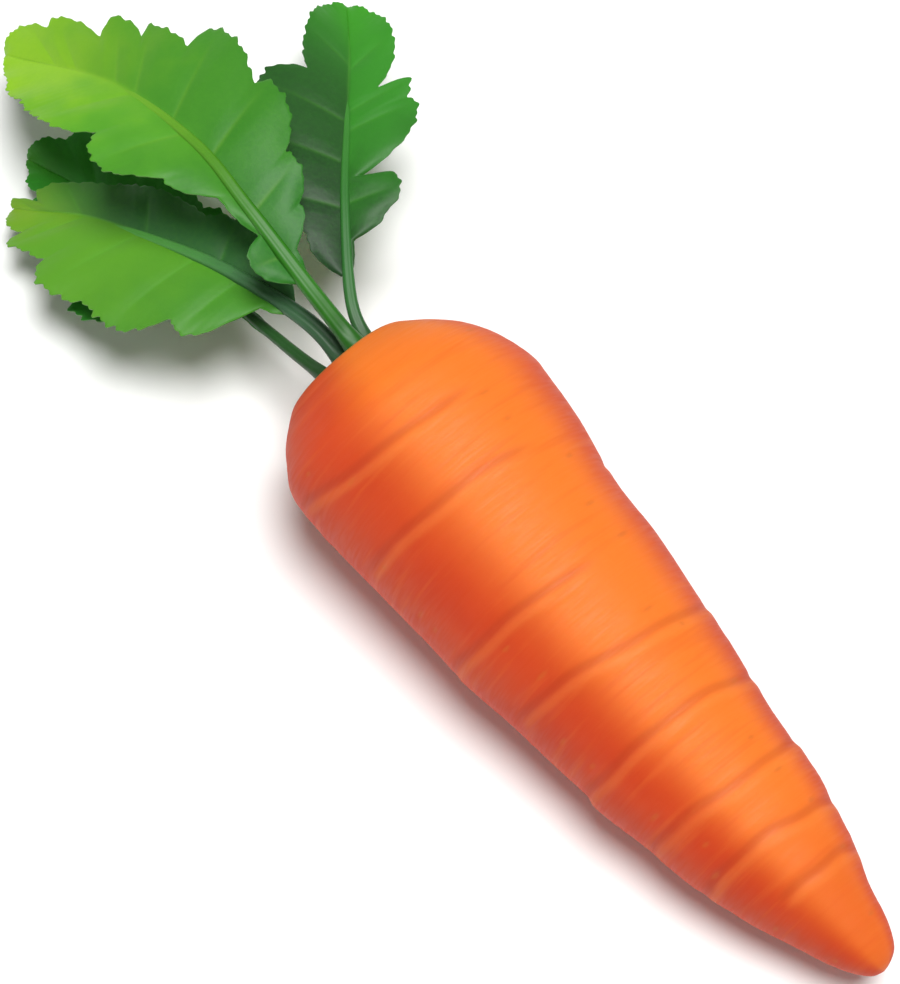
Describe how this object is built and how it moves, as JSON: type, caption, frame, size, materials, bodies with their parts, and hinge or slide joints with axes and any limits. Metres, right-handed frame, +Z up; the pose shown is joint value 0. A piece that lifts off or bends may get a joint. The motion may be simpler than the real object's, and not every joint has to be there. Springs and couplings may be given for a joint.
{
  "type": "carrot",
  "caption": "Whole fresh carrot lying on its side, a plump tapering orange root with ring creases and a short tuft of lobed green leaves at the crown.",
  "frame": {"origin": "on the narrow flat along the root's underside, at the height of the surface that the carrot lies on, between the third and fourth creases from the crown", "axes": "+X along the carrot, towards the root's tip; +Z up, away from the surface; the leaves point towards -X"},
  "size_m": [0.2493, 0.0853, 0.0501],
  "materials": {
    "root_skin": "satin, faintly waxy vegetable skin",
    "upper_leaf_stalk": "satin green stalk",
    "upper_leaf_blade": "matt leaf",
    "right_leaf_stalk": "satin green stalk",
    "right_leaf_blade": "matt leaf",
    "left_leaf_stalk": "satin green stalk",
    "left_leaf_blade": "matt leaf",
    "lower_leaf_stalk": "satin green stalk",
    "lower_leaf_blade": "matt leaf"
  },
  "bodies": {
    "root": {"root": "root_skin", "upper_leaf_stalk": "upper_leaf_stalk", "upper_leaf_blade": "upper_leaf_blade", "right_leaf_stalk": "right_leaf_stalk", "right_leaf_blade": "right_leaf_blade", "left_leaf_stalk": "left_leaf_stalk", "left_leaf_blade": "left_leaf_blade", "lower_leaf_stalk": "lower_leaf_stalk", "lower_leaf_blade": "lower_leaf_blade"}
  },
  "joints": []
}
